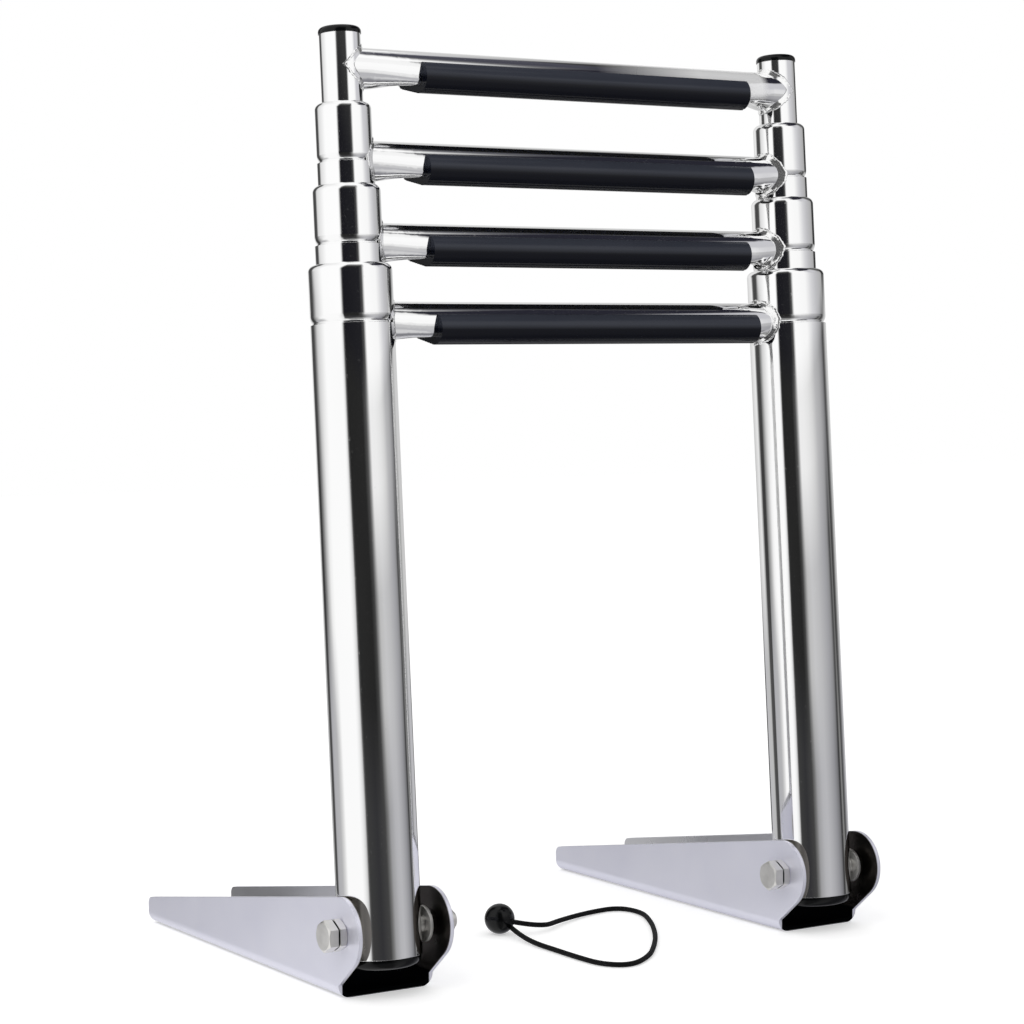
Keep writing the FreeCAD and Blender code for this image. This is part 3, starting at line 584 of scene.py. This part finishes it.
def fastener(t, place):
    """Plain stainless bolts and nuts, with painted shade: a black line in the gap under the bolt head, and
    dark on the sleeve between the plates.
    """
    x, y, z = t.axes(place)
    across = t.math("ABSOLUTE", t.math("SUBTRACT", t.math("ABSOLUTE", x), SIDE_MIDDLE))
    ahead = t.math("SUBTRACT", y, BOLT_PLACE[0])
    above = t.math("SUBTRACT", z, BOLT_PLACE[1])
    reach = t.math("SQRT", t.math("ADD", t.math("MULTIPLY", ahead, ahead), t.math("MULTIPLY", above, above)))
    sleeve = t.math("MULTIPLY", t.stretch(across, 0.0300, 0.0297), t.stretch(across, 0.0246, 0.0250))
    # Painted shade: the sleeve between the plates darkened
    sleeve_shade_mask = t.math("MULTIPLY", sleeve, t.stretch(reach, 0.0105, 0.0100))
    cloud = t.noise(place, 160.0, 4.0, 0.6)
    fine = t.noise(place, 1500.0, 2.0)
    polish = t.blend(cloud, *BOLT_STEEL)
    outward = t.math("SUBTRACT", t.math("MULTIPLY", t.math("SIGN", x), SIDE_MIDDLE), x)
    # Painted shade: a black line in the gap under the bolt head
    gap_shade_mask = t.math("MULTIPLY", t.stretch(outward, 0.0373, 0.0376), t.stretch(outward, 0.0388, 0.0385))
    steel_with_gap_shade = t.blend(gap_shade_mask, polish, BOLT_GAP_SHADE)
    colour = t.blend(sleeve_shade_mask, steel_with_gap_shade, SLEEVE_PAINTED_SHADE)
    rough = t.stretch(cloud, 0.3, 0.7, 0.34, 0.46)
    sockets = {"Base Color": colour, "Metallic": 1.0, "Roughness": rough}
    return sockets, fine, 0.12, 0.00008, 0.0005


def tread(t, place):
    """Black moulded step with a soft sheen, and a painted sheen: a paler stripe high on its front."""
    grain = t.noise(place, 2200.0, 2.0)
    cloud = t.noise(t.scaled(place, (12, 60, 60)), 1.0, 3.0)
    height = t.axes(t.add("ShaderNodeTexCoord").outputs["Generated"])[2]
    # Painted sheen: a paler stripe high on the tread's front
    painted_sheen_mask = t.math("MULTIPLY", t.stretch(height, 0.39, 0.52), t.stretch(height, 0.80, 0.77))
    colour = t.blend(painted_sheen_mask, TREAD_BLACK, t.blend(cloud, *TREAD_PAINTED_SHEEN))
    rough = t.stretch(cloud, 0.3, 0.7, 0.16, 0.21)
    sockets = {"Base Color": colour, "Roughness": rough, "Specular IOR Level": 0.20}
    return sockets, grain, 0.06, 0.00004, 0.0003


def gloss(t, place):
    """Glossy black plastic of the foot plugs, caps and ball."""
    cloud = t.noise(place, 60.0, 3.0)
    fine = t.noise(place, 900.0, 2.0)
    rough = t.stretch(cloud, 0.3, 0.7, 0.08, 0.14)
    sockets = {"Base Color": GLOSS_BLACK, "Roughness": rough, "Specular IOR Level": 0.24}
    return sockets, fine, 0.06, 0.00005, 0.0004


def bush(t, place):
    """Pale nylon of the guides inside the tubes."""
    cloud = t.noise(place, 40.0, 3.0)
    fine = t.noise(place, 1200.0, 2.0)
    sockets = {"Base Color": t.blend(cloud, *NYLON), "Roughness": t.stretch(cloud, 0.3, 0.7, 0.35, 0.5)}
    return sockets, fine, 0.08, 0.00005, 0


def braid(t, place):
    """Black braided sleeve of the elastic cord, with paler threads in it."""
    weave = t.noise(place, 1100.0, 1.0)
    fleck = t.noise(place, 700.0, 2.0, 0.7)
    colour = t.blend(t.stretch(fleck, 0.60, 0.70), BRAID_BLACK, BRAID_FLECK)
    sockets = {"Base Color": colour, "Roughness": 0.8, "Specular IOR Level": 0.25}
    return sockets, weave, 0.6, 0.00035, 0


def weld(t, place):
    """Bright weld bead, uneven and freshly cleaned."""
    lumps = t.noise(place, 620.0, 3.0, 0.6)
    cloud = t.noise(place, 300.0, 2.0)
    rough = t.stretch(cloud, 0.3, 0.7, 0.05, 0.11)
    sockets = {"Base Color": WELD_STEEL, "Metallic": 0.88, "Roughness": rough}
    return sockets, lumps, 0.14, 0.0003, 0


MATERIAL_BUILDERS = {
    "polished_steel": polished,
    "bracket_steel": bracket,
    "fastener_steel": fastener,
    "tread_plastic": tread,
    "gloss_black": gloss,
    "bush_plastic": bush,
    "elastic_cord": braid,
    "weld_steel": weld,
}
MATERIALS = {name: finish_material(name, build) for name, build in MATERIAL_BUILDERS.items()}

# Each of the part's own nodes gets the material of its slot
for row in frame["record"]["subparts"]:
    item = nodes[row["node"]]
    item.data.materials.clear()
    item.data.materials.append(MATERIALS[row["material_slot"]])

# The cord's route in millimetres, out of the ball, round its loop on the deck and back into the ball
CORD_ROUTE = (
    (-17.0, -24.9, 9.0),
    (1.5, -33.6, 4.5),
    (29.0, -14.5, 2.8),
    (61.8, 0.1, 1.7),
    (87.4, 2.1, 1.7),
    (91.6, -21.0, 1.7),
    (78.5, -49.2, 1.7),
    (66.9, -69.4, 1.7),
    (52.4, -91.7, 1.7),
    (36.6, -112.3, 1.7),
    (18.1, -133.8, 1.7),
    (-6.0, -149.8, 1.7),
    (-20.7, -137.2, 1.7),
    (-22.2, -108.8, 1.7),
    (-22.0, -86.0, 1.7),
    (-22.5, -61.4, 1.9),
    (-20.4, -39.5, 3.6),
    (-16.3, -23.2, 5.0),
)
CORD_DIAMETER = 0.0033


def make_cord():
    curve = bpy.data.curves.new("bungee_loop", "CURVE")
    curve.dimensions = "3D"
    curve.resolution_u = 16
    curve.bevel_depth = CORD_DIAMETER / 2
    curve.bevel_resolution = 5
    curve.use_fill_caps = True
    spline = curve.splines.new("NURBS")
    spline.points.add(len(CORD_ROUTE) - 1)
    for point, place in zip(spline.points, CORD_ROUTE):
        point.co = tuple(value / 1000 for value in place) + (1,)
    spline.order_u = 3
    spline.use_endpoint_u = True
    curve.materials.append(MATERIALS["elastic_cord"])
    cord = bpy.data.objects.new("bungee_loop", curve)
    bpy.context.scene.collection.objects.link(cord)
    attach(cord, "brackets")
    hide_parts("bungee_cord")


make_cord()

# The leg axes and rungs in millimetres and degrees, for the welds between them. Each row ends with the rung's
# height along the leg, the leg's radius there and the room between the rung and the collar below
LEG_CENTRES = (-168.0, 162.0)
LEG_LEAN = 3.8
LEG_BASE = (-117.013, 39.102)
RUNG_RADIUS = 12.5
WELDS = (
    ("rung_4", "outer_frame", 363.5, 25.4, 9.0),
    ("rung_3", "stage_3", 411.0, 20.5, 0.5),
    ("rung_2", "stage_2", 460.5, 17.0, 2.5),
    ("rung_1", "stage_1", 516.5, 12.5, 9.0),
)
AROUND = 240
ACROSS = 14

# The weld's reach along the leg and along the rung in millimetres, with what the rung's sides add to each
FOOT_REACH = (2.4, 3.6)
BACK_REACH = (1.4, -0.6)

# The reach along the leg wanders round the rung: size in millimetres and number of waves
WANDER = ((0.35, 5), (0.25, 13), (0.15, 29))

# Heights across the weld in millimetres: a low swell, and the bead on it with its ripple and grain
SWELL_HEIGHT = 0.10
BEAD_HEIGHT = 0.30
RIPPLE_HEIGHT = 0.14
GRAIN_HEIGHT = 0.08

# The bead's place and breadth as shares of the way across
BEAD_PLACE = 0.72
BEAD_BREADTH = 0.17

# How far the edges sink into rung and leg, and how far the weld stays off the collar below, in millimetres
RUNG_SINK = 0.25
LEG_SINK = 0.9
COLLAR_ROOM = 0.12


def weld_row(turn, leg_radius, room):
    """Points across the weld at one place round the rung, from the rung's surface to the leg's."""
    side = math.sin(turn)
    rise = math.cos(turn)
    broad = abs(side) ** 1.5
    phases = (leg_radius, 2, 0)
    wander = sum(size * math.sin(turn * waves + phase) for (size, waves), phase in zip(WANDER, phases))
    foot = FOOT_REACH[0] + FOOT_REACH[1] * broad + wander
    back = BACK_REACH[0] + BACK_REACH[1] * broad
    round_at = math.asin(max(-1.0, min(1.0, RUNG_RADIUS * side / leg_radius)))
    near = Vector((leg_radius * math.cos(round_at) + back, RUNG_RADIUS * side, RUNG_RADIUS * rise))
    far_at = round_at + foot * side / leg_radius
    far_rise = (RUNG_RADIUS + foot * abs(rise)) * rise
    far = Vector((leg_radius * math.cos(far_at), leg_radius * math.sin(far_at), far_rise))
    from_rung = Vector((0, side, rise))
    from_leg = Vector((math.cos(far_at), math.sin(far_at), 0))
    points = []
    for step in range(ACROSS):
        share = step / (ACROSS - 1)
        out = (from_rung * (1 - share) + from_leg * share).normalized()
        swell = math.sin(math.pi * share)
        bead = math.exp(-((share - BEAD_PLACE) / BEAD_BREADTH) ** 2)
        ripple = 0.5 + 0.5 * math.sin(turn * 50 + 2.0 * share)
        grain = math.sin(turn * 71 + share * 9) * math.sin(turn * 17 + share * 21)
        bead *= BEAD_HEIGHT + RIPPLE_HEIGHT * ripple + GRAIN_HEIGHT * grain
        high = SWELL_HEIGHT * swell + bead - RUNG_SINK * (1 - swell)
        if step == ACROSS - 1:
            high = -LEG_SINK
        place = near.lerp(far, min(1.0, share * ACROSS / (ACROSS - 1))) + out * high
        place.z = max(place.z, -(RUNG_RADIUS + room - COLLAR_ROOM))
        points.append(place)
    return points


def make_weld(name, body, height, leg_radius, room, centre, toward):
    """A weld on one leg, closed round the rung; toward is 1 on the left leg and -1 on the right."""
    lean = math.radians(LEG_LEAN)
    verts = []
    faces = []
    for i in range(AROUND):
        for j, point in enumerate(weld_row(2 * math.pi * i / AROUND, leg_radius, room)):
            z = height + point.z
            verts.append((
                (centre + point.x * toward) / 1000,
                (LEG_BASE[0] + point.y * math.cos(lean) + z * math.sin(lean)) / 1000,
                (LEG_BASE[1] - point.y * math.sin(lean) + z * math.cos(lean)) / 1000,
            ))
            if j < ACROSS - 1:
                a = i * ACROSS + j
                b = ((i + 1) % AROUND) * ACROSS + j
                faces.append((a, b, b + 1, a + 1) if toward > 0 else (a + 1, b + 1, b, a))
    mesh = bpy.data.meshes.new(name)
    mesh.from_pydata(verts, [], faces)
    mesh.polygons.foreach_set("use_smooth", [True] * len(faces))
    mesh.materials.append(MATERIALS["weld_steel"])
    item = bpy.data.objects.new(name, mesh)
    bpy.context.scene.collection.objects.link(item)
    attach(item, body)


for rung, body, height, leg_radius, room in WELDS:
    make_weld(f"weld_{rung}_left", body, height, leg_radius, room, LEG_CENTRES[0], 1)
    make_weld(f"weld_{rung}_right", body, height, leg_radius, room, LEG_CENTRES[1], -1)
